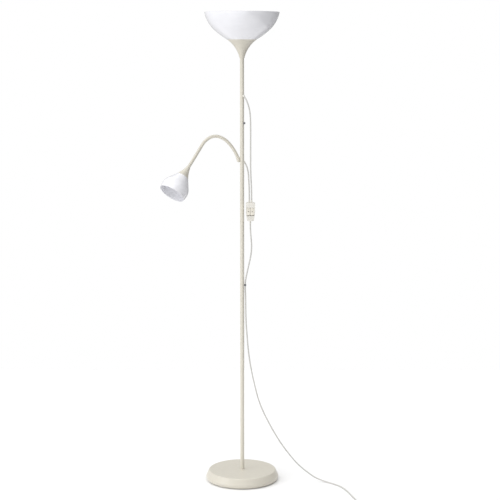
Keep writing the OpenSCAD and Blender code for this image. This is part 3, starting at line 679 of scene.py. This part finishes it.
def straight_hose(name, length, turns):
    """A capped length of ribbed hose along Z, extruded turn by turn from a filled ring."""
    nothing_selected()
    r = sizes().hose / 2
    low = r - sizes().hose_groove
    pitch = length / turns
    bpy.ops.mesh.primitive_circle_add(vertices=24, radius=low, fill_type="NGON")
    bpy.ops.object.mode_set(mode="EDIT")
    bpy.ops.mesh.select_all(action="SELECT")
    out = r / low
    # One turn: how far up each step goes, as a share of the pitch, and how it swells
    profile = ((0.10, 1.0), (0.16, out), (0.48, 1.0), (0.16, 1 / out), (0.10, 1.0))
    for _ in range(turns):
        for rise, swell in profile:
            bpy.ops.mesh.extrude_region_move(
                TRANSFORM_OT_translate={"value": (0, 0, pitch * rise)})
            if swell != 1.0:
                bpy.ops.transform.resize(value=(swell, swell, 1))
    bpy.ops.object.mode_set(mode="OBJECT")
    return outward(named(bpy.context.object, name), 60)


def bent(piece, points):
    """Lays a straight hose along points."""
    line = bpy.data.curves.new("hose_guide", "CURVE")
    line.dimensions = "3D"
    line.twist_mode = "MINIMUM"
    spline = line.splines.new("POLY")
    spline.points.add(len(points) - 1)
    for knot, point in zip(spline.points, points):
        knot.co = (*point, 1.0)
    guide = bpy.data.objects.new("hose_guide", line)
    bpy.context.scene.collection.objects.link(guide)
    applied(piece, "CURVE", object=guide, deform_axis="POS_Z")
    bpy.data.objects.remove(guide)
    bpy.data.curves.remove(line)
    return piece


class LAMP_OT_bendable_arm(bpy.types.Operator):
    """Adds the ribbed hose of the reading arm, one length over each joint"""

    bl_idname = "lamp.bendable_arm"
    bl_label = "Bendable arm"

    def execute(self, context):
        starts = link_starts()
        turns = sizes().hose_turns
        long = straight_hose("hose_long", LINK / 1000, turns)
        short = straight_hose("hose_short", LINK / 2000, turns // 2)
        finish = enamel_finish()
        for k in range(len(BENDS) + 1):
            first = max(0.0, (k - 0.5) * LINK)
            last = min(len(BENDS) * LINK, (k + 0.5) * LINK)
            whole = last - first > LINK * 0.9
            piece = copy_of(long if whole else short, f"hose_{k + 1}")
            steps = 24 if whole else 12
            line = [arm_point(starts, first + (last - first) * i / steps)
                    for i in range(steps + 1)]
            painted(bent(piece, line), finish)
            if k == 0:
                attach(piece, "stand")
            elif k == len(BENDS):
                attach(piece, "head")
            else:
                arm_point(starts, k * LINK - BLEND_REACH)
                arm_point(starts, k * LINK + BLEND_REACH)
                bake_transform(piece)
            if k < len(BENDS):
                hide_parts(f"arm_link_{k + 1}")
        for spare in (long, short):
            bpy.data.objects.remove(spare)
        return {"FINISHED"}


# ---------------------------------------------------------------- moulded parts

KEY_EDGE = 0.6              # a rocker's edge radius, as a share of the shells'
PLUG_EDGE = 0.0018          # edge radius of the plug's body


class LAMP_OT_switch(bpy.types.Operator):
    """Rounds the moulded shells and rockers of the cord switch"""

    bl_idname = "lamp.switch"
    bl_label = "Cord switch"

    def execute(self, context):
        shell = moulded_finish("switch_plastic", colours().switch[:], 5000.0, 0.36)
        edge = sizes().edge
        for node, name in (("switch_front", "switch_shell_front"),
                           ("switch_back", "switch_shell_back")):
            piece = painted(eased(node, name, "stand", edge), shell)
        for node, name in (("uplight_rocker", "uplight_rocker_key"),
                           ("reading_rocker", "reading_rocker_key")):
            low, high = (Vector(corner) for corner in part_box(node))
            middle = (low + high) / 2
            key = rocker_finish(name + "_plastic", colours().rocker[:], middle.x, middle.z)
            piece = painted(eased(node, name, node, edge * KEY_EDGE), key)
        for node in ("cord_sleeves", "uplight_cord_bush", "reading_cord_bush"):
            painted(NODES[node], shell)
        return {"FINISHED"}


class LAMP_OT_plug(bpy.types.Operator):
    """Rounds the flat plug and finishes its pins"""

    bl_idname = "lamp.plug"
    bl_label = "Plug"

    def execute(self, context):
        body = moulded_finish("plug_plastic", colours().switch[:], 4000.0, 0.40)
        piece = painted(eased("plug_body", "plug_shell", "stand", PLUG_EDGE, 50), body)
        nickel = metal_finish("nickel_plate", (0.62, 0.60, 0.56), 0.12, dull=0.1)
        painted(NODES["plug_pins"], nickel)
        return {"FINISHED"}


class LAMP_OT_shades(bpy.types.Operator):
    """Finishes both glossy shades and their bulbs"""

    bl_idname = "lamp.shades"
    bl_label = "Shades and bulbs"

    def execute(self, context):
        gloss = shade_finish()
        for node in ("uplight_bowl", "reading_shade"):
            painted(NODES[node], gloss)
        glass = glass_finish()
        for node in ("uplight_bulb_glass", "reading_bulb_glass"):
            painted(NODES[node], glass)
        cap = metal_finish("cap_aluminium", (0.68, 0.68, 0.69), 0.30, brushed=(1.0, 1.0, 8.0))
        for node in ("uplight_bulb_cap", "reading_bulb_cap"):
            painted(NODES[node], cap)
        return {"FINISHED"}


class LAMP_OT_metalwork(bpy.types.Operator):
    """Finishes the pole, the base, the cones and everything inside them"""

    bl_idname = "lamp.metalwork"
    bl_label = "Pole, base and inner parts"

    def execute(self, context):
        enamel = enamel_finish()
        for node in ("base_cover", "pole_lower", "pole_middle", "pole_upper", "uplight_cone",
                     "reading_cone", "arm_socket"):
            painted(NODES[node], enamel)
        zinc = metal_finish("zinc_plated_steel", (0.52, 0.53, 0.54), 0.28)
        for node in ("base_washer", "base_nut", "base_stud", "pole_foot_plug", "coupler_lower",
                     "coupler_upper", "pole_top_plug", "uplight_nipple", "reading_nipple",
                     "rocker_axle", "switch_screws"):
            painted(NODES[node], zinc)
        brass = metal_finish("contact_brass", (0.72, 0.52, 0.22), 0.25)
        for node in ("uplight_contacts", "reading_contacts", "switch_terminals"):
            painted(NODES[node], brass)
        holder = moulded_finish("holder_plastic", (0.78, 0.78, 0.75), 3500.0, 0.45)
        for node in ("uplight_lampholder", "uplight_shade_ring", "reading_lampholder",
                     "reading_shade_ring"):
            painted(NODES[node], holder)
        clip = moulded_finish("clip_plastic", colours().clip[:], 4500.0, 0.42)
        for node in ("cord_clip_upper", "cord_clip_lower", "coil_tie"):
            painted(NODES[node], clip)
        sheath = cord_finish()
        for node in ("uplight_lead", "reading_lead"):
            painted(NODES[node], sheath)
        painted(NODES["base_ballast"], concrete_finish())
        painted(NODES["base_pad"], felt_finish())
        return {"FINISHED"}


# ---------------------------------------------------------------- stage

FOCAL_LENGTH = 96.43            # in millimetres, on a sensor 36 mm wide
CAMERA_AT = (0.0294, -4.9528, 1.5971)
CAMERA_TILT = 0.1429            # downwards, in radians
FLOOR_SIZE = 3.6
FLOOR_DROP = 0.0002             # the floor lies this much below the lamp's pad
# Name, direction towards the light, strength and spread in degrees
SUNS = [
    ("key_light", (-0.80, -0.50, 0.25), 0.90, 40),
    ("top_light", (0.0, -0.1, 1.0), 2.0, 100),
    ("fill_light", (-0.25, -0.90, -0.25), 0.85, 60),
]
SURROUND_LEFT, SURROUND_RIGHT = 0.75, 0.25
SURROUND_EDGE = 0.9             # how far to each side the surround changes


def sun_light(name, towards, strength, spread):
    """A wide soft light from one direction, the same over the whole floor."""
    lamp = bpy.data.lights.new(name, "SUN")
    lamp.energy = strength
    lamp.angle = math.radians(spread)
    light = bpy.data.objects.new(name, lamp)
    bpy.context.scene.collection.objects.link(light)
    light.rotation_euler = Vector(towards).to_track_quat("Z", "Y").to_euler()


class LAMP_OT_camera(bpy.types.Operator):
    """Adds the camera"""

    bl_idname = "lamp.camera"
    bl_label = "Camera"

    def execute(self, context):
        lens = bpy.data.cameras.new("studio_camera")
        lens.sensor_width = 36.0
        lens.lens = FOCAL_LENGTH
        lens.clip_end = 100.0
        camera = bpy.data.objects.new("studio_camera", lens)
        context.scene.collection.objects.link(camera)
        camera.location = CAMERA_AT
        camera.rotation_euler = (math.pi / 2 - CAMERA_TILT, 0, 0)
        context.scene.camera = camera
        return {"FINISHED"}


class LAMP_OT_studio(bpy.types.Operator):
    """Adds the pale floor, the soft lights and the white surround"""

    bl_idname = "lamp.studio"
    bl_label = "Studio"

    def execute(self, context):
        nothing_selected()
        bpy.ops.mesh.primitive_plane_add(size=FLOOR_SIZE, location=(0, 0, -FLOOR_DROP))
        floor = painted(settled(named(context.object, "studio_floor")), studio_finish())
        for sun in SUNS:
            sun_light(*sun)
        context.scene.view_settings.view_transform = "Standard"
        world = bpy.data.worlds.new("studio_surround")
        context.scene.world = world
        world.use_nodes = True
        tree = world.node_tree
        surround = tree.nodes["Background"]
        surround.inputs["Color"].default_value = (1, 1, 1, 1)
        way = tree.nodes.new("ShaderNodeTexCoord")
        parts = tree.nodes.new("ShaderNodeSeparateXYZ")
        span = tree.nodes.new("ShaderNodeMapRange")
        for name, value in (("From Min", -SURROUND_EDGE), ("From Max", SURROUND_EDGE),
                            ("To Min", SURROUND_LEFT), ("To Max", SURROUND_RIGHT)):
            span.inputs[name].default_value = value
        tree.links.new(way.outputs["Generated"], parts.inputs[0])
        tree.links.new(parts.outputs["X"], span.inputs["Value"])
        tree.links.new(span.outputs[0], surround.inputs["Strength"])
        backdrop = tree.nodes.new("ShaderNodeBackground")
        backdrop.inputs["Color"].default_value = (1, 1, 1, 1)
        backdrop.inputs["Strength"].default_value = 1.0
        seen = tree.nodes.new("ShaderNodeLightPath")
        either = tree.nodes.new("ShaderNodeMixShader")
        tree.links.new(seen.outputs["Is Camera Ray"], either.inputs[0])
        tree.links.new(surround.outputs[0], either.inputs[1])
        tree.links.new(backdrop.outputs[0], either.inputs[2])
        tree.links.new(either.outputs[0], tree.nodes["World Output"].inputs["Surface"])
        return {"FINISHED"}


# ---------------------------------------------------------------- add-on

STEPS = ["camera", "cords", "bendable_arm", "metalwork", "shades", "switch", "plug", "studio"]


class LAMP_PT_panel(bpy.types.Panel):
    """Lists the lamp's pieces and their settings"""

    bl_idname = "LAMP_PT_panel"
    bl_label = "Torchiere lamp"
    bl_space_type = "VIEW_3D"
    bl_region_type = "UI"
    bl_category = "Lamp"

    def draw(self, context):
        column = self.layout.column()
        for group in (context.scene.lamp_sizes, context.scene.lamp_colours):
            for key in group.__annotations__:
                column.prop(group, key)
        for step in STEPS:
            column.operator("lamp." + step)


CLASSES = [
    LampSizes, LampColours, LAMP_OT_camera, LAMP_OT_cords, LAMP_OT_bendable_arm,
    LAMP_OT_metalwork, LAMP_OT_shades, LAMP_OT_switch, LAMP_OT_plug, LAMP_OT_studio,
    LAMP_PT_panel,
]


def register():
    for item in CLASSES:
        bpy.utils.register_class(item)
    bpy.types.Scene.lamp_sizes = PointerProperty(type=LampSizes)
    bpy.types.Scene.lamp_colours = PointerProperty(type=LampColours)


def unregister():
    del bpy.types.Scene.lamp_colours
    del bpy.types.Scene.lamp_sizes
    for item in reversed(CLASSES):
        bpy.utils.unregister_class(item)


def main():
    register()
    for step in STEPS:
        getattr(bpy.ops.lamp, step)()
    nothing_selected()


if __name__ == "__main__":
    main()
